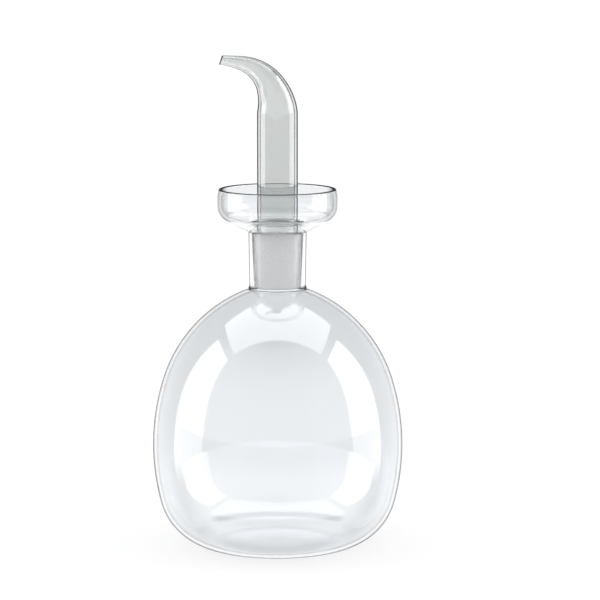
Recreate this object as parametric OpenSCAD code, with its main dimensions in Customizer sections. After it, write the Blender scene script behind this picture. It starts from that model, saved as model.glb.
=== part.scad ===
// Retort flask: a blown bulb with a tapered neck socket and a drip cup fused on
// top, and a curved spout whose ground cone is seated in the socket.
// Millimetres, +Z up. The origin is the centre of the base, on the table.
// The spout's tip points along -X.

/* [Bulb] */
// Radius of the flat ring that the bulb stands on
foot_ring_r = 32.5; // [30:0.5:35]
// Width of that flat ring
foot_ring_w = 4; // [3:0.5:6]
// Radius of the round from the foot up to the side
foot_arc_r = 34.2; // [33:0.2:36]
// Steepness of the wall where the foot round ends, in degrees
foot_arc_end = 75; // [73:0.5:77]
// Radius of the long, slightly bulging side
side_arc_r = 123; // [118:1:128]
// Direction of the wall where the side ends and the shoulder starts
side_arc_end = 108; // [107:0.5:110]
// Direction of the wall where the shoulder meets the neck
shoulder_end = 160; // [157:0.5:162]
// Thickness of the blown wall
bulb_wall = 1.8; // [1.4:0.1:2.4]
// Thickness of the base at its centre
base_wall = 2.8; // [2.4:0.1:3.4]
// Height of the pushed-up base above the table
punt_rise = 1.5; // [1:0.1:2]

/* [Neck] */
// Outer radius of the neck where it is fused to the bulb
neck_bottom_r = 15.6; // [15.2:0.1:16]
// Outer radius of the neck where it is fused to the cup
neck_top_r = 16.1; // [15.9:0.1:16.5]
// Length of the neck between bulb and cup
neck_len = 31.75; // [31.5:0.25:34]
// How far the bead of the fused seam stands out
seam_bead = 0.5; // [0.3:0.1:0.8]

/* [Ground joint] */
// Large diameter of the standard taper
joint_big_d = 29.2; // [29:0.1:29.4]
// Small diameter of the standard taper
joint_small_d = 26; // [25.8:0.1:26.2]
// Length of the ground zone
joint_len = 32; // [31:0.5:32]
// Radial clearance of the seated cone
joint_clearance = 0.05; // [0.03:0.01:0.08]

/* [Drip cup] */
// Outer radius of the cup at its widest
cup_r = 33.2; // [31:0.2:36]
// Height of the rim above the neck
cup_h = 24; // [21:0.5:27]
// Slope of the cup's floor, in degrees
cup_floor_slope = 28; // [24:1:30]
// Outer radius of the round between floor and side
cup_corner_r = 9; // [7:0.5:10]
// Thickness of the cup's wall
cup_wall = 1.8; // [1.5:0.1:2]
// How far the rim closes in
rim_inset = 0.5; // [0.2:0.1:0.8]
// Radius of the fire-polished rim
rim_r = 1.05; // [0.95:0.05:1.2]

/* [Spout] */
// Outer radius of the straight tube
tube_r = 11.25; // [10.6:0.05:11.6]
// Thickness of the tube's wall
tube_wall = 1.5; // [1.2:0.1:1.8]
// Thickness of the ground cone's wall
cone_wall = 2.1; // [1.8:0.1:2.2]
// Length of the straight tube
straight_len = 61.4; // [50:0.2:75]
// Radius of the first, gentle part of the bend, along the tube's middle
bend_1_r = 33; // [30:1:45]
// Angle of the first part of the bend
bend_1_angle = 27; // [20:1:30]
// Radius of the tight part of the bend
bend_2_r = 23.7; // [22:0.1:30]
// Angle of the tight part of the bend
bend_2_angle = 49.5; // [45:0.5:53]
// Radius of the last, almost straight part
bend_3_r = 78; // [60:1:120]
// Angle of the last part
bend_3_angle = 9; // [5:0.5:12]
// Outer radius of the tip
tip_r = 2.6; // [2.4:0.1:3.2]
// Thickness of the glass at the tip
tip_wall = 0.9; // [0.7:0.1:1]
// Slant of the cut at the tip, in degrees
tip_slant = 14; // [0:1:16]

/* [Hidden] */

GLASS = [0.86, 0.89, 0.90, 0.35];
GROUND_GLASS = [0.93, 0.94, 0.94, 0.8];
DEGREES_PER_STEP = 4;
TUBE_SIDES = 36;

// ---- Outlines: a point is [radius, height], a heading is 0 outwards and 90 up

function steps(angle) = max(2, ceil(abs(angle) / DEGREES_PER_STEP));
function last(list) = list[len(list) - 1];
function reversed(list) = [for (i = [len(list) - 1:-1:0]) list[i]];

// Where an arc ends that starts at p, heading h, and turns through an angle.
// A negative radius with a negative angle turns to the right.
function arc_end(p, h, r, angle) =
    p + r * [sin(h + angle) - sin(h), cos(h) - cos(h + angle)];

// The points of that arc, its start included
function arc(p, h, r, angle, n = 0) =
    let (count = n > 0 ? n : steps(angle))
    [for (i = [0:count]) arc_end(p, h, r, angle * i / count)];

// A shallow dome from the axis at height z_mid out to [r, z_edge]
function dome(r, z_edge, z_mid) =
    let (rise = z_mid - z_edge,
         ball_r = (r * r + rise * rise) / (2 * rise),
         spread = asin(r / ball_r),
         count = 6)
    [for (i = [0:count])
        let (a = spread * i / count)
        [ball_r * sin(a), z_mid - ball_r * (1 - cos(a))]];

// A rounded step from p, heading up, inwards to r_end and up again
function shoulder(p, r_end, r_outer, r_inner, h) =
    let (corners = (r_outer + r_inner) * (1 - sin(h)),
         run = (p.x - r_end - corners) / -cos(h),
         first = arc(p, 90, r_outer, h - 90, 6),
         q = last(first) + run * [cos(h), sin(h)])
    concat(first, arc(q, h, -r_inner, 90 - h, 6));

module turned(outline) {
    rotate_extrude($fn = 96) polygon(outline);
}

// ---- Bulb

foot_end = arc_end([foot_ring_r, 0], 0, foot_arc_r, foot_arc_end);
side_end = arc_end(foot_end, foot_arc_end, side_arc_r, side_arc_end - foot_arc_end);
// The shoulder's radius is the one that brings it to the neck
shoulder_r = (side_end.x - neck_bottom_r) / (sin(side_arc_end) - sin(shoulder_end));
bulb_top = arc_end(side_end, side_arc_end, shoulder_r, shoulder_end - side_arc_end);
bulb_top_z = bulb_top.y;

// The passage under the ground zone is as wide as the zone's small end
passage_r = joint_small_d / 2 + joint_clearance;

// The bulb's side from foot to shoulder, moved inwards by depth
function bulb_side(depth, end) =
    let (a = [foot_ring_r, depth],
         b = arc_end(a, 0, foot_arc_r - depth, foot_arc_end),
         c = arc_end(b, foot_arc_end, side_arc_r - depth, side_arc_end - foot_arc_end))
    concat(
        arc(a, 0, foot_arc_r - depth, foot_arc_end),
        arc(b, foot_arc_end, side_arc_r - depth, side_arc_end - foot_arc_end),
        arc(c, side_arc_end, shoulder_r - depth, end - side_arc_end));

// Where the inside of the shoulder reaches the passage
inner_side_end_r = side_end.x - bulb_wall * sin(side_arc_end);
inner_shoulder_end = 180 - asin(
    sin(side_arc_end) - (inner_side_end_r - passage_r) / (shoulder_r - bulb_wall));

module bulb() {
    color(GLASS)
    turned(concat(
        dome(foot_ring_r - foot_ring_w, 0, punt_rise),
        bulb_side(0, shoulder_end),
        [[passage_r, bulb_top_z]],
        reversed(bulb_side(bulb_wall, inner_shoulder_end)),
        reversed(dome(foot_ring_r, bulb_wall, punt_rise + base_wall))));
}

// ---- Neck with its ground socket

neck_top_z = bulb_top_z + neck_len;
socket_top_r = joint_big_d / 2 + joint_clearance;
// The mouth is where the inside of the cup's floor meets the ground zone
mouth_z = neck_top_z + cup_wall / cos(cup_floor_slope)
    - (neck_top_r - socket_top_r) * tan(cup_floor_slope);
joint_bottom_z = mouth_z - joint_len;
joint_slope = (joint_big_d - joint_small_d) / 2 / joint_len;

// Radius of the ground socket at a height
function socket_r(z) = socket_top_r - (mouth_z - z) * joint_slope;

// Half-round bead on the outside of the neck, upwards from z
function bead(r, z, height) =
    [for (a = [-90:30:90]) [r + seam_bead * cos(a), z + height / 2 * (1 + sin(a))]];

module neck_socket() {
    bead_h = 3 * seam_bead;
    color(GLASS)
    turned(concat(
        bead(neck_bottom_r, bulb_top_z, bead_h),
        [[neck_top_r, neck_top_z],
         [socket_r(neck_top_z), neck_top_z],
         [passage_r, joint_bottom_z],
         [passage_r, bulb_top_z]]));
}

// ---- Drip cup round the socket's mouth

rim_z = neck_top_z + cup_h;

// Floor and side of the cup, moved inwards by depth: the end of the floor's
// slope, the corner, and the side up to z_end
function cup_side(depth, z_end) =
    let (corner_r = cup_corner_r - depth,
         normal = [-sin(cup_floor_slope), cos(cup_floor_slope)],
         foot = [neck_top_r, neck_top_z] + depth * normal,
         corner_start_r = cup_r - depth - corner_r * (1 - sin(cup_floor_slope)),
         run = corner_start_r - foot.x,
         corner = foot + run * [1, tan(cup_floor_slope)])
    concat(
        arc(corner, cup_floor_slope, corner_r, 90 - cup_floor_slope),
        [[cup_r - depth, z_end]]);

module drip_cup() {
    rim_mid = [cup_r - rim_inset - rim_r, rim_z - rim_r];
    closing_z = rim_z - 4 * rim_r;
    color(GLASS)
    turned(concat(
        [[neck_top_r, neck_top_z]],
        cup_side(0, closing_z),
        [for (a = [0:20:180]) rim_mid + rim_r * [cos(a), sin(a)]],
        reversed(cup_side(cup_wall, closing_z)),
        [[socket_top_r, mouth_z], [socket_r(neck_top_z), neck_top_z]]));
}

// ---- Ground cone of the spout

cone_top_r = joint_big_d / 2;
cone_bottom_r = joint_small_d / 2;
cone_outside = shoulder([cone_top_r, mouth_z], tube_r, 1.6, 0.8, 165);
tube_bore_r = tube_r - tube_wall;
cone_inside = shoulder([cone_top_r - cone_wall, mouth_z - 0.6], tube_bore_r, 0.8, 1.6, 155);
// A short straight stub ends the cone where the tube is fused on
seam_z = last(cone_outside).y + 0.5;

module spout_cone() {
    edge_r = 0.5;
    color(GROUND_GLASS)
    turned(concat(
        arc([cone_bottom_r - edge_r, joint_bottom_z], 0, edge_r, 90, 4),
        cone_outside,
        [[tube_r, seam_z], [tube_bore_r, seam_z]],
        reversed(cone_inside),
        [[cone_bottom_r - cone_wall, joint_bottom_z]]));
}

// ---- Curved spout tube

bend_start = [0, seam_z + straight_len];
bend_1_end = arc_end(bend_start, 90, bend_1_r, bend_1_angle);
heading_1 = 90 + bend_1_angle;
bend_2_end = arc_end(bend_1_end, heading_1, bend_2_r, bend_2_angle);
heading_2 = heading_1 + bend_2_angle;

function arc_length(r, angle) = r * angle * PI / 180;
bend_1_len = arc_length(bend_1_r, bend_1_angle);
bend_2_len = arc_length(bend_2_r, bend_2_angle);
bend_3_len = arc_length(bend_3_r, bend_3_angle);
tube_len = straight_len + bend_1_len + bend_2_len + bend_3_len;

// Stations along one bend: [x, z, heading, length from the tube's start]
function stations(p, h, r, angle, start_len, count) =
    [for (i = [1:count])
        let (a = angle * i / count, q = arc_end(p, h, r, a))
        [q.x, q.y, h + a, start_len + arc_length(r, a)]];

tube_stations = concat(
    [[0, seam_z, 90, 0], [0, bend_start.y, 90, straight_len]],
    stations(bend_start, 90, bend_1_r, bend_1_angle, straight_len, 7),
    stations(bend_1_end, heading_1, bend_2_r, bend_2_angle,
        straight_len + bend_1_len, 12),
    stations(bend_2_end, heading_2, bend_3_r, bend_3_angle,
        straight_len + bend_1_len + bend_2_len, 4));

// Share of the way from the straight tube's size to the tip's size. The tube is
// drawn thinner along the whole bend, slowly at first and at the tip.
function taper(len_here) =
    let (t = max(0, (len_here - straight_len) / (tube_len - straight_len)))
    1 - pow(1 - pow(t, 1.3), 1.54);

// One ring of points, square to the tube's heading
function ring(station, r, tilt) =
    let (h = station[2] - tilt)
    [for (i = [0:TUBE_SIDES - 1])
        let (a = 360 * i / TUBE_SIDES, side = r * cos(a))
        [station.x + side * sin(h), r * sin(a), station.y - side * cos(h)]];

// Rings of one surface of the tube, from its start to its tip
function tube_rings(start_r, end_r) =
    [for (i = [0:len(tube_stations) - 1])
        let (s = tube_stations[i],
             tilt = i == len(tube_stations) - 1 ? tip_slant : 0)
        each ring(s, start_r + (end_r - start_r) * taper(s[3]), tilt)];

module spout_tube() {
    n = TUBE_SIDES;
    rings = len(tube_stations);
    inside = n * rings;
    // Quads between neighbouring rings, split into triangles
    walls = [for (k = [0:rings - 2], i = [0:n - 1])
        let (j = (i + 1) % n, a = k * n + i, b = k * n + j)
        each [[a, a + n, b], [b, a + n, b + n],
              [inside + a, inside + b, inside + a + n],
              [inside + b, inside + b + n, inside + a + n]]];
    top = (rings - 1) * n;
    ends = [for (i = [0:n - 1])
        let (j = (i + 1) % n)
        each [[i, j, inside + i], [j, inside + j, inside + i],
              [top + i, inside + top + i, top + j],
              [top + j, inside + top + i, inside + top + j]]];
    color(GLASS)
    polyhedron(
        concat(tube_rings(tube_r, tip_r), tube_rings(tube_bore_r, tip_r - tip_wall)),
        concat(walls, ends));
}

bulb();
neck_socket();
drip_cup();
spout_cone();
spout_tube();
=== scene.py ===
"""Looks of the retort flask: fine glass meshes in place of the CAD nodes, in a light tent on a pale floor.

Outlines are in millimetres and repeat the CAD model's dimensions. Everything in Blender is in metres.
"""
import math

import bpy
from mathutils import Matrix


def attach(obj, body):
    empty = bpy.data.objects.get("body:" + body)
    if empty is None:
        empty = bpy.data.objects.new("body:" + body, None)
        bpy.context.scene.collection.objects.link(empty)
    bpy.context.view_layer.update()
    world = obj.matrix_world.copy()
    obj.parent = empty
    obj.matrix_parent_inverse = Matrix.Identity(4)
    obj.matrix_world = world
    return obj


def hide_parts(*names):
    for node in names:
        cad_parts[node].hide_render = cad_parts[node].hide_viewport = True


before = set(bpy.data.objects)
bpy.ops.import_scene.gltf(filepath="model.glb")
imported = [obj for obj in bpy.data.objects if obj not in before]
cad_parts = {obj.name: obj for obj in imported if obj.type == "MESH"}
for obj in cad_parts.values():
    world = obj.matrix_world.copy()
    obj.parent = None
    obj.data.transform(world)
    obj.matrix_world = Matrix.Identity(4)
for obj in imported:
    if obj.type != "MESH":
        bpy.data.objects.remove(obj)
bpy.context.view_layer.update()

MM = 0.001

# ---------------------------------------------------------------- camera

VIEW_DISTANCE = 1.6124
VIEW_ELEVATION = math.radians(8.1)
AIM_HEIGHT = 0.1386
AIM_SIDE = 0.01245
LENS_MM = 174.0
SENSOR_MM = 36.0


def add_camera():
    data = bpy.data.cameras.new("camera")
    data.sensor_width = SENSOR_MM
    data.lens = LENS_MM
    camera = bpy.data.objects.new("camera", data)
    bpy.context.scene.collection.objects.link(camera)
    camera.location = (
        AIM_SIDE,
        -VIEW_DISTANCE * math.cos(VIEW_ELEVATION),
        AIM_HEIGHT + VIEW_DISTANCE * math.sin(VIEW_ELEVATION),
    )
    camera.rotation_euler = (math.pi / 2 - VIEW_ELEVATION, 0, 0)
    bpy.context.scene.camera = camera


add_camera()

# ---------------------------------------------------------------- node helpers


class Nodes:
    """Short names for building a node tree. A value is a number or another node's output."""

    def __init__(self, tree):
        self.tree = tree

    def add(self, kind, **settings):
        node = self.tree.nodes.new(kind)
        for key, value in settings.items():
            setattr(node, key, value)
        return node

    def link(self, source, target):
        self.tree.links.new(source, target)

    def put(self, target, value):
        if isinstance(value, bpy.types.NodeSocket):
            self.link(value, target)
        else:
            target.default_value = value

    def math(self, operation, a, b=0.0):
        node = self.add("ShaderNodeMath", operation=operation)
        self.put(node.inputs[0], a)
        self.put(node.inputs[1], b)
        return node.outputs[0]

    def times(self, a, b):
        return self.math("MULTIPLY", a, b)

    def ratio(self, a, b):
        return self.math("DIVIDE", a, b)

    def less(self, a, b):
        return self.math("SUBTRACT", a, b)

    def smooth(self, value, limits, start=0.0, end=1.0):
        """Goes smoothly from start to end while the value goes from the first limit to the second."""
        node = self.add("ShaderNodeMapRange", interpolation_type="SMOOTHSTEP")
        self.put(node.inputs["Value"], value)
        for name, number in zip(("From Min", "From Max", "To Min", "To Max"), (*limits, start, end)):
            node.inputs[name].default_value = number
        return node.outputs["Result"]

    def window(self, value, limits, softness, lower_softness=None):
        """1 between the limits and 0 outside, with soft ends."""
        low, high = limits
        rise_by = lower_softness or softness
        rise = self.smooth(value, (low - rise_by, low + rise_by))
        fall = self.smooth(value, (high - softness, high + softness), 1.0, 0.0)
        return self.times(rise, fall)

    def mix(self, share, a, b):
        node = self.add("ShaderNodeMix")
        self.put(node.inputs["Factor"], share)
        self.put(node.inputs["A"], a)
        self.put(node.inputs["B"], b)
        return node.outputs["Result"]


# ---------------------------------------------------------------- light tent

# Limits are on the x, y and z of a direction of length 1. The front of the object faces -Y.
TENT_COLOUR = (0.98, 0.985, 1.0, 1)
FRONT_TO_BACK = (-0.3, 0.3)

GLOW_TOP = 0.93
FRONT_GLOW = 2.5
BACK_GLOW_LOW, BACK_GLOW_HIGH = 1.1, 0.75
BACK_GLOW_RISE = (0.0, 0.5)

FLOOR_FAR, FLOOR_NEAR, FLOOR_BEHIND = 1.9, 5.4, 1.5
FLOOR_NEAR_TO_FAR = (-0.55, -0.02)
HORIZON = (-0.14, 0.06)
# Painted shade and shadow in the floor as the gloss sees it: darker straight down under the glass, and a
# dark band in front for the flask's shadow.
UNDER_GLASS, UNDER_GLASS_SHARE = (-1.0, -0.7), 0.75
SHADOW_BAND, SHADOW_SOFTNESS, SHADOW_DEPTH = (-0.61, -0.57), 0.012, 0.95
SHADOW_FRONT = (-0.4, -0.1)

# Panels stand in the planes |x| = 1 and z = 1, and their limits are where a direction meets those planes.
SIDE_LIGHT, SIDE_PANEL_Y, SIDE_PANEL_Z = 5.2, (-0.31, 0.36), (-0.27, 1.02)
ROOF_LIGHT, ROOF_PANEL_X, ROOF_PANEL_Y = 3.2, (-0.79, 0.79), (-0.27, 0.6)
PANEL_SOFTNESS, PANEL_FOOT_SOFTNESS = 0.02, 0.1
SMALLEST = 0.001


def glow(n, y, z):
    """Fades out overhead, and is paler behind the glass than in front of it."""
    height = n.ratio(z, GLOW_TOP)
    fade = n.math("SQRT", n.math("MAXIMUM", n.less(1.0, n.times(height, height)), 0.0))
    behind = n.smooth(z, BACK_GLOW_RISE, BACK_GLOW_LOW, BACK_GLOW_HIGH)
    return n.times(fade, n.mix(n.smooth(y, FRONT_TO_BACK), FRONT_GLOW, behind))


def painted_floor_reflection(n, y, z):
    """What the glass's gloss sees below the horizon, painted by direction into the tent's light: a bright
    floor with a painted band of the flask's own shadow in front, and painted shade straight down under the
    glass.
    """
    band = n.window(z, SHADOW_BAND, SHADOW_SOFTNESS)
    shadow = n.times(band, n.smooth(y, SHADOW_FRONT, 1.0, 0.0))
    lit_share = n.times(
        n.less(1.0, n.times(shadow, SHADOW_DEPTH)),
        n.smooth(z, UNDER_GLASS, UNDER_GLASS_SHARE, 1.0),
    )
    in_front = n.smooth(z, FLOOR_NEAR_TO_FAR, FLOOR_NEAR, FLOOR_FAR)
    return n.times(lit_share, n.mix(n.smooth(y, FRONT_TO_BACK), in_front, FLOOR_BEHIND))


def side_panels(n, x, y, z):
    side = n.math("MAXIMUM", n.math("ABSOLUTE", x), SMALLEST)
    return n.times(
        n.window(n.ratio(y, side), SIDE_PANEL_Y, PANEL_SOFTNESS),
        n.window(n.ratio(z, side), SIDE_PANEL_Z, PANEL_SOFTNESS, PANEL_FOOT_SOFTNESS),
    )


def roof_panel(n, x, y, z):
    above = n.math("MAXIMUM", z, SMALLEST)
    panel = n.times(
        n.window(n.ratio(x, above), ROOF_PANEL_X, PANEL_SOFTNESS),
        n.window(n.ratio(y, above), ROOF_PANEL_Y, PANEL_SOFTNESS),
    )
    return n.times(panel, n.math("GREATER_THAN", z, SMALLEST))


def build_tent():
    """Light by direction only: a panel on each side, one overhead, and a glow from everywhere else, with a
    painted floor reflection and painted shadow below the horizon.
    """
    world = bpy.data.worlds.new("studio")
    bpy.context.scene.world = world
    world.use_nodes = True
    n = Nodes(world.node_tree)
    n.tree.nodes.clear()
    direction = n.add("ShaderNodeSeparateXYZ")
    n.link(n.add("ShaderNodeTexCoord").outputs["Generated"], direction.inputs[0])
    x, y, z = direction.outputs
    light = n.mix(n.smooth(z, HORIZON, 1.0, 0.0), glow(n, y, z), painted_floor_reflection(n, y, z))
    light = n.mix(side_panels(n, x, y, z), light, SIDE_LIGHT)
    light = n.mix(roof_panel(n, x, y, z), light, ROOF_LIGHT)
    background = n.add("ShaderNodeBackground")
    background.inputs["Color"].default_value = TENT_COLOUR
    n.link(light, background.inputs["Strength"])
    output = n.add("ShaderNodeOutputWorld")
    n.link(background.outputs[0], output.inputs["Surface"])


# ---------------------------------------------------------------- floor

FLOOR_RADIUS = 16.0
FLOOR_SIDES = 96
FLOOR_GAP = 0.0002
FLOOR_GLOW = 0.83
FLOOR_COLOUR = (0.10, 0.10, 0.10, 1)
FLOOR_ROUGHNESS = 0.9


def floor_material():
    material = bpy.data.materials.new("floor")
    material.use_nodes = True
    shader = material.node_tree.nodes["Principled BSDF"]
    shader.inputs["Base Color"].default_value = FLOOR_COLOUR
    shader.inputs["Roughness"].default_value = FLOOR_ROUGHNESS
    shader.inputs["Specular IOR Level"].default_value = 0.0
    shader.inputs["Emission Color"].default_value = (1, 1, 1, 1)
    shader.inputs["Emission Strength"].default_value = FLOOR_GLOW
    return material


def build_floor():
    """A pale disc that lies just clear of the glass, and that the glass's gloss doesn't see."""
    angles = [2 * math.pi * i / FLOOR_SIDES for i in range(FLOOR_SIDES)]
    corners = [(FLOOR_RADIUS * math.cos(a), FLOOR_RADIUS * math.sin(a), -FLOOR_GAP) for a in angles]
    mesh = bpy.data.meshes.new("floor")
    mesh.from_pydata(corners, [], [tuple(range(FLOOR_SIDES))])
    mesh.materials.append(floor_material())
    floor = bpy.data.objects.new("floor", mesh)
    bpy.context.scene.collection.objects.link(floor)
    floor.visible_glossy = False


build_tent()
build_floor()

# ---------------------------------------------------------------- glass

CLEAR_TINT = (0.836, 0.85, 0.863, 1)
NECK_TINT = (0.995, 1.0, 1.0, 1)
SPOUT_TINT = (0.695, 0.71, 0.70, 1)
GROUND_TINT = (0.795, 0.805, 0.81, 1)
CLEAR_IOR, SPOUT_IOR = 1.47, 1.6

# Painted shade: the near-black, slightly green colour mixed into each glass along its outlines.
PAINTED_EDGE_TONE, GROUND_PAINTED_EDGE_TONE = 0.02, 0.003
PAINTED_EDGE_GREEN = 1.1

# Bumps: noise scale per metre, detail, strength, and height in metres
BLOWN_WAVES = (22.0, 1.0, 0.03, 0.002)
GROUND_GRAIN = (900.0, 2.0, 1.0, 0.0004)
GROUND_ROUGHNESS, GROUND_CLARITY = 0.5, 0.35


def glass_base(name, tint, ior, roughness=0.0, clarity=1.0):
    material = bpy.data.materials.new(name)
    material.use_nodes = True
    n = Nodes(material.node_tree)
    shader = n.tree.nodes["Principled BSDF"]
    shader.inputs["Base Color"].default_value = tint
    shader.inputs["Transmission Weight"].default_value = clarity
    shader.inputs["IOR"].default_value = ior
    shader.inputs["Roughness"].default_value = roughness
    return material, n, shader


def painted_dark_edge(n, shader, limits, depth, tone=PAINTED_EDGE_TONE):
    """Painted shade: glass is made dark where the eye only grazes it, by mixing in a near-black diffuse, as
    along every outline of a glass vessel.

    The limits are on Layer Weight's facing, which is 0 where a surface is seen square on and 1 at its edge.
    """
    facing = n.add("ShaderNodeLayerWeight")
    facing.inputs["Blend"].default_value = 0.5
    shade = n.add("ShaderNodeBsdfDiffuse")
    shade.inputs["Color"].default_value = (tone, PAINTED_EDGE_GREEN * tone, tone, 1)
    mix = n.add("ShaderNodeMixShader")
    n.link(n.smooth(facing.outputs["Facing"], limits, 0.0, depth), mix.inputs[0])
    n.link(shader.outputs[0], mix.inputs[1])
    n.link(shade.outputs[0], mix.inputs[2])
    n.link(mix.outputs[0], n.tree.nodes["Material Output"].inputs["Surface"])
    return facing


def noise_bump(n, scale, detail, strength, height):
    noise = n.add("ShaderNodeTexNoise")
    n.link(n.add("ShaderNodeTexCoord").outputs["Object"], noise.inputs["Vector"])
    noise.inputs["Scale"].default_value = scale
    noise.inputs["Detail"].default_value = detail
    bump = n.add("ShaderNodeBump")
    bump.inputs["Strength"].default_value = strength
    bump.inputs["Distance"].default_value = height
    n.link(noise.outputs["Fac"], bump.inputs["Height"])
    return bump.outputs["Normal"]


def clear_glass(name, tint, painted_edge_limits, painted_edge_depth, ior=CLEAR_IOR):
    """Polished glass with the long, faint waves of blowing."""
    material, n, shader = glass_base(name, tint, ior)
    painted_dark_edge(n, shader, painted_edge_limits, painted_edge_depth)
    n.link(noise_bump(n, *BLOWN_WAVES), shader.inputs["Normal"])
    return material


def ground_glass(name, painted_edge_limits, painted_edge_depth):
    """Frosted by grinding: a fine grain that also breaks up the painted dark edge."""
    material, n, shader = glass_base(name, GROUND_TINT, CLEAR_IOR, GROUND_ROUGHNESS, GROUND_CLARITY)
    facing = painted_dark_edge(n, shader, painted_edge_limits, painted_edge_depth, GROUND_PAINTED_EDGE_TONE)
    grain = noise_bump(n, *GROUND_GRAIN)
    n.link(grain, shader.inputs["Normal"])
    n.link(grain, facing.inputs["Normal"])
    return material


# Each glass gets painted shade along its outlines, where Layer Weight's facing passes the limits, up to the
# depth given. The rim and the tip's last stretch are painted dark almost all over, the seam's bead darker
# than the neck, and the base not at all.
BULB_GLASS = clear_glass("bulb_glass", CLEAR_TINT, (0.77, 0.97), 0.92)
BASE_GLASS = clear_glass("base_glass", CLEAR_TINT, (0.9, 1.0), 0.0)
NECK_GLASS = clear_glass("neck_glass", NECK_TINT, (0.68, 0.9), 0.9)
SEAM_GLASS = clear_glass("seam_glass", NECK_TINT, (0.5, 0.8), 1.0)
CUP_GLASS = clear_glass("cup_glass", CLEAR_TINT, (0.5, 0.92), 0.6)
CUP_FLOOR_GLASS = clear_glass("cup_floor_glass", NECK_TINT, (0.8, 1.0), 0.45)
RIM_GLASS = clear_glass("rim_glass", CLEAR_TINT, (0.0, 0.35), 0.95)
TUBE_GLASS = clear_glass("tube_glass", SPOUT_TINT, (0.55, 0.77), 1.0, SPOUT_IOR)
TIP_GLASS = clear_glass("tip_glass", SPOUT_TINT, (-0.5, 0.3), 0.9, SPOUT_IOR)
CONE_GLASS = ground_glass("ground_glass", (0.38, 0.62), 1.0)

# ---------------------------------------------------------------- dimensions, in millimetres and degrees

FOOT_RING_R = 32.5
FOOT_ARC_R, FOOT_ARC_END = 34.2, 75.0
SIDE_ARC_R, SIDE_ARC_END = 123.0, 108.0
SHOULDER_END = 160.0
BULB_WALL, PUNT_RISE = 1.8, 1.5

NECK_BOTTOM_R, NECK_TOP_R, NECK_LEN = 15.6, 16.1, 31.75
SEAM_BEAD = 0.5
SEAM_BEAD_H = 3 * SEAM_BEAD
JOINT_BIG_R, JOINT_SMALL_R, JOINT_LEN, JOINT_CLEARANCE = 14.6, 13.0, 32.0, 0.05

CUP_R, CUP_H, CUP_SLOPE, CUP_CORNER_R, CUP_WALL = 33.2, 24.0, 28.0, 9.0, 1.8
RIM_INSET, RIM_R = 0.5, 1.05
RIM_BLEND_H = 4 * RIM_R

TUBE_R, TUBE_WALL, CONE_WALL = 11.25, 1.5, 2.1
BORE_R = TUBE_R - TUBE_WALL
CONE_STUB_LEN, CONE_FOOT_R, CONE_MOUTH_DROP = 0.5, 0.5, 0.6
BIG_CORNER_R, SMALL_CORNER_R = 1.6, 0.8
CONE_OUTSIDE_HEADING, CONE_INSIDE_HEADING = 165, 155

STRAIGHT_LEN, SEAM_GAP = 61.4, 0.02
BENDS = ((33.0, 27.0), (23.7, 49.5), (78.0, 9.0))
TIP_R, TIP_WALL, TIP_SLANT = 2.6, 0.9, 14.0
TAPER_START_POWER, TAPER_END_POWER = 1.3, 1.54

LATHE_SIDES, TUBE_SIDES, TIP_RINGS = 192, 96, 2
ARC_STEP, CORNER_STEP, CUP_CORNER_STEP, BEAD_STEP = 1.5, 5, 4, 15
DOME_STEPS = 16
TUBE_STEP_LEN = 0.7

# ---------------------------------------------------------------- outlines: a point is (radius, height)


def sin(degrees):
    return math.sin(math.radians(degrees))


def cos(degrees):
    return math.cos(math.radians(degrees))


def tan(degrees):
    return math.tan(math.radians(degrees))


def arc_end(p, h, r, angle):
    """Where an arc ends that starts at p with heading h, 0 outwards and 90 up, and turns by angle."""
    return (p[0] + r * (sin(h + angle) - sin(h)), p[1] + r * (cos(h) - cos(h + angle)))


def arc(p, h, r, angle, step=ARC_STEP):
    count = max(4, math.ceil(abs(angle) / step))
    return [arc_end(p, h, r, angle * i / count) for i in range(count + 1)]


def round_bead(middle, r_across, r_up, angles):
    """The points of a bead's round outside. Its middle is a point."""
    return [(middle[0] + r_across * cos(a), middle[1] + r_up * sin(a)) for a in angles]


def dome(r, z_edge, z_mid):
    """A shallow dome from the axis at height z_mid out to (r, z_edge)."""
    rise = z_mid - z_edge
    ball_r = (r * r + rise * rise) / (2 * rise)
    angles = [math.degrees(math.asin(r / ball_r)) * i / DOME_STEPS for i in range(DOME_STEPS + 1)]
    return [(ball_r * sin(a), z_mid - ball_r * (1 - cos(a))) for a in angles]


def shoulder(p, r_end, r_outer, r_inner, h):
    """A rounded step from p, heading up, inwards to the radius r_end and up again."""
    run = (p[0] - r_end - (r_outer + r_inner) * (1 - sin(h))) / -cos(h)
    first = arc(p, 90, r_outer, h - 90, CORNER_STEP)
    q = (first[-1][0] + run * cos(h), first[-1][1] + run * sin(h))
    return first + arc(q, h, -r_inner, 90 - h, CORNER_STEP)


foot_end = arc_end((FOOT_RING_R, 0), 0, FOOT_ARC_R, FOOT_ARC_END)
side_end = arc_end(foot_end, FOOT_ARC_END, SIDE_ARC_R, SIDE_ARC_END - FOOT_ARC_END)
shoulder_r = (side_end[0] - NECK_BOTTOM_R) / (sin(SIDE_ARC_END) - sin(SHOULDER_END))
bulb_top_z = arc_end(side_end, SIDE_ARC_END, shoulder_r, SHOULDER_END - SIDE_ARC_END)[1]
passage_r = JOINT_SMALL_R + JOINT_CLEARANCE
neck_top_z = bulb_top_z + NECK_LEN
socket_top_r = JOINT_BIG_R + JOINT_CLEARANCE
mouth_z = neck_top_z + CUP_WALL / cos(CUP_SLOPE) - (NECK_TOP_R - socket_top_r) * tan(CUP_SLOPE)
joint_bottom_z = mouth_z - JOINT_LEN
rim_z = neck_top_z + CUP_H


def socket_r(z):
    return socket_top_r - (mouth_z - z) * (JOINT_BIG_R - JOINT_SMALL_R) / JOINT_LEN


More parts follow.
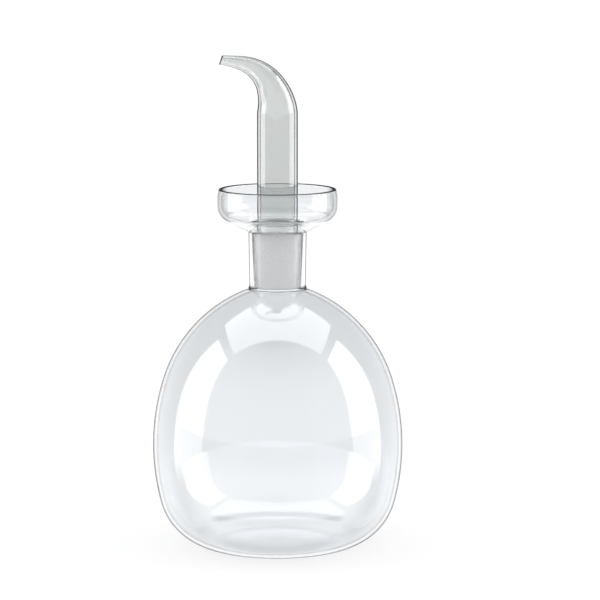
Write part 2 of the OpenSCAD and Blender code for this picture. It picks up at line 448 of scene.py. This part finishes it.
def bulb_side(depth, end):
    """The bulb's side from the base up to the heading end, at this depth in the glass."""
    a = (FOOT_RING_R, depth)
    b = arc_end(a, 0, FOOT_ARC_R - depth, FOOT_ARC_END)
    c = arc_end(b, FOOT_ARC_END, SIDE_ARC_R - depth, SIDE_ARC_END - FOOT_ARC_END)
    return (
        arc(a, 0, FOOT_ARC_R - depth, FOOT_ARC_END)[:-1]
        + arc(b, FOOT_ARC_END, SIDE_ARC_R - depth, SIDE_ARC_END - FOOT_ARC_END)[:-1]
        + arc(c, SIDE_ARC_END, shoulder_r - depth, end - SIDE_ARC_END)
    )


def bulb_outline():
    inner_start = side_end[0] - BULB_WALL * sin(SIDE_ARC_END)
    inner_drop = (inner_start - passage_r) / (shoulder_r - BULB_WALL)
    inner_end = 180 - math.degrees(math.asin(sin(SIDE_ARC_END) - inner_drop))
    return (
        dome(FOOT_RING_R, 0, PUNT_RISE)[:-1]
        + bulb_side(0, SHOULDER_END)
        + [(passage_r, bulb_top_z)]
        + bulb_side(BULB_WALL, inner_end)[::-1]
        + dome(FOOT_RING_R, BULB_WALL, PUNT_RISE + BULB_WALL)[-2::-1]
    )


def neck_outline():
    middle = (NECK_BOTTOM_R, bulb_top_z + SEAM_BEAD_H / 2)
    return round_bead(middle, SEAM_BEAD, SEAM_BEAD_H / 2, range(-90, 91, BEAD_STEP)) + [
        (NECK_TOP_R, neck_top_z),
        (socket_r(neck_top_z), neck_top_z),
        (passage_r, joint_bottom_z),
        (passage_r, bulb_top_z),
    ]


def cup_side(depth, z_end):
    """The cup's side from the end of its sloping floor up to z_end, at this depth in the glass."""
    corner_r = CUP_CORNER_R - depth
    foot = (NECK_TOP_R - depth * sin(CUP_SLOPE), neck_top_z + depth * cos(CUP_SLOPE))
    run = CUP_R - depth - corner_r * (1 - sin(CUP_SLOPE)) - foot[0]
    corner = (foot[0] + run, foot[1] + run * tan(CUP_SLOPE))
    return arc(corner, CUP_SLOPE, corner_r, 90 - CUP_SLOPE, CUP_CORNER_STEP) + [(CUP_R - depth, z_end)]


def cup_outline():
    middle = (CUP_R - RIM_INSET - RIM_R, rim_z - RIM_R)
    blend_z = rim_z - RIM_BLEND_H
    return (
        [(NECK_TOP_R, neck_top_z)]
        + cup_side(0, blend_z)
        + round_bead(middle, RIM_R, RIM_R, range(0, 181, BEAD_STEP))
        + cup_side(CUP_WALL, blend_z)[::-1]
        + [(socket_top_r, mouth_z), (socket_r(neck_top_z), neck_top_z)]
    )


cone_outside = shoulder((JOINT_BIG_R, mouth_z), TUBE_R, BIG_CORNER_R, SMALL_CORNER_R, CONE_OUTSIDE_HEADING)
seam_z = cone_outside[-1][1] + CONE_STUB_LEN


def cone_outline():
    inside_start = (JOINT_BIG_R - CONE_WALL, mouth_z - CONE_MOUTH_DROP)
    inside = shoulder(inside_start, BORE_R, SMALL_CORNER_R, BIG_CORNER_R, CONE_INSIDE_HEADING)
    return (
        arc((JOINT_SMALL_R - CONE_FOOT_R, joint_bottom_z), 0, CONE_FOOT_R, 90, BEAD_STEP)
        + cone_outside
        + [(TUBE_R, seam_z), (BORE_R, seam_z)]
        + inside[::-1]
        + [(JOINT_SMALL_R - CONE_WALL, joint_bottom_z)]
    )


# ---------------------------------------------------------------- mesh building

ON_AXIS = 1e-6
SHARP_ANGLE = math.radians(35)


def finish_mesh(name, vertices, faces, material):
    mesh = bpy.data.meshes.new(name)
    mesh.from_pydata(vertices, [], faces)
    mesh.validate()
    mesh.update()
    mesh.materials.append(material)
    mesh.shade_smooth()
    mesh.set_sharp_from_angle(angle=SHARP_ANGLE)
    piece = bpy.data.objects.new(name, mesh)
    bpy.context.scene.collection.objects.link(piece)
    return piece


def lathe(name, outline, material):
    """Turns a closed outline round +Z. A point on the axis is one vertex."""
    vertices, rings = [], []
    for r, z in outline:
        count = 1 if r < ON_AXIS else LATHE_SIDES
        ring = [len(vertices) + i % count for i in range(LATHE_SIDES)]
        rings.append(ring)
        angles = [2 * math.pi * i / LATHE_SIDES for i in range(count)]
        vertices += [(r * MM * math.cos(a), r * MM * math.sin(a), z * MM) for a in angles]
    faces = []
    for ring, following in zip(rings, rings[1:] + rings[:1]):
        for i in range(LATHE_SIDES):
            j = (i + 1) % LATHE_SIDES
            corners = list(dict.fromkeys((ring[i], ring[j], following[j], following[i])))
            if len(corners) > 2:
                faces.append(corners)
    return finish_mesh(name, vertices, faces, material)


def tube_stations():
    """(x, z, heading, length so far) along the middle of the spout's tube."""
    p, heading, length = (0, seam_z + STRAIGHT_LEN), 90, STRAIGHT_LEN
    stations = [(0, seam_z + SEAM_GAP, heading, SEAM_GAP), (*p, heading, length)]
    for r, angle in BENDS:
        bend_len = r * math.radians(angle)
        count = math.ceil(bend_len / TUBE_STEP_LEN)
        for i in range(1, count + 1):
            a = angle * i / count
            stations.append((*arc_end(p, heading, r, a), heading + a, length + r * math.radians(a)))
        p, heading, length = arc_end(p, heading, r, angle), heading + angle, length + bend_len
    return stations


def taper(length, total):
    """Share of the way from the straight tube's size to the tip's: slow at first, and again at the tip."""
    t = max(0, (length - STRAIGHT_LEN) / (total - STRAIGHT_LEN))
    return 1 - (1 - t**TAPER_START_POWER) ** TAPER_END_POWER


def tube_rings(stations, start_r, end_r):
    """Rings square to the tube's heading, but for the last two, which slant as the tip's cut does."""
    total = stations[-1][3]
    points = []
    for k, (x, z, heading, length) in enumerate(stations):
        r = start_r + (end_r - start_r) * taper(length, total)
        h = heading - (TIP_SLANT if k >= len(stations) - TIP_RINGS else 0)
        for i in range(TUBE_SIDES):
            a = 360 * i / TUBE_SIDES
            side = r * cos(a)
            points.append(((x + side * sin(h)) * MM, r * sin(a) * MM, (z - side * cos(h)) * MM))
    return points


def tube_faces(ring_count):
    """Faces of the outside, the inside, and the two ends. The inside's vertices follow the outside's."""
    n = TUBE_SIDES
    inside = n * ring_count
    top = inside - n
    faces = []
    for i in range(n):
        j = (i + 1) % n
        for k in range(0, top, n):
            faces.append((k + i, k + j, k + n + j, k + n + i))
            faces.append((inside + k + i, inside + k + n + i, inside + k + n + j, inside + k + j))
        faces.append((i, inside + i, inside + j, j))
        faces.append((top + i, top + j, inside + top + j, inside + top + i))
    return faces


def tube(name, material):
    stations = tube_stations()
    vertices = tube_rings(stations, TUBE_R, TIP_R) + tube_rings(stations, BORE_R, TIP_R - TIP_WALL)
    return finish_mesh(name, vertices, tube_faces(len(stations)), material)


def add_material(piece, material, chosen):
    """Gives this material to the chosen faces."""
    materials = piece.data.materials
    materials.append(material)
    for face in piece.data.polygons:
        if chosen(face):
            face.material_index = len(materials) - 1


# ---------------------------------------------------------------- pieces

RIM_FACES_H = 0.5 * RIM_R
CUP_FLOOR_H = 0.3 * CUP_H


def radius(face):
    return math.hypot(face.center.x, face.center.y) / MM


def height(face):
    return face.center.z / MM


def is_base(face):
    return radius(face) < FOOT_RING_R and height(face) < rim_z / 2


def is_seam(face):
    return radius(face) > NECK_BOTTOM_R and height(face) < bulb_top_z + SEAM_BEAD_H


def is_rim(face):
    return height(face) > rim_z - RIM_FACES_H


def is_cup_floor(face):
    return height(face) < neck_top_z + CUP_FLOOR_H


def place(piece, body, node):
    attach(piece, body)
    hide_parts(node)


def add_bulb():
    bulb = lathe("bulb_glass", bulb_outline(), BULB_GLASS)
    add_material(bulb, BASE_GLASS, is_base)
    place(bulb, "flask", "bulb")


def add_neck():
    neck = lathe("neck_glass", neck_outline(), NECK_GLASS)
    add_material(neck, SEAM_GLASS, is_seam)
    place(neck, "flask", "neck_socket")


def add_cup():
    cup = lathe("cup_glass", cup_outline(), CUP_GLASS)
    add_material(cup, RIM_GLASS, is_rim)
    add_material(cup, CUP_FLOOR_GLASS, is_cup_floor)
    place(cup, "flask", "drip_cup")


def add_cone():
    cone = lathe("cone_glass", cone_outline(), CONE_GLASS)
    place(cone, "cone", "spout_cone")


def add_tube():
    """The tube starts just above the cone, so that their end faces don't share a plane as they turn."""
    spout = tube("tube_glass", TUBE_GLASS)
    surface_count = len(spout.data.vertices) // 2
    tip_start = surface_count - TIP_RINGS * TUBE_SIDES
    add_material(spout, TIP_GLASS, lambda face: all(i % surface_count >= tip_start for i in face.vertices))
    place(spout, "beak", "spout_tube")


add_bulb()
add_neck()
add_cup()
add_cone()
add_tube()

# ---------------------------------------------------------------- view and ray settings

LONGEST_PATH, MOST_REFLECTIONS = 32, 12

scene = bpy.context.scene
scene.view_settings.view_transform = "Standard"
scene.view_settings.look = "None"
scene.cycles.use_denoising = True
scene.cycles.max_bounces = LONGEST_PATH
scene.cycles.transmission_bounces = LONGEST_PATH
scene.cycles.glossy_bounces = MOST_REFLECTIONS
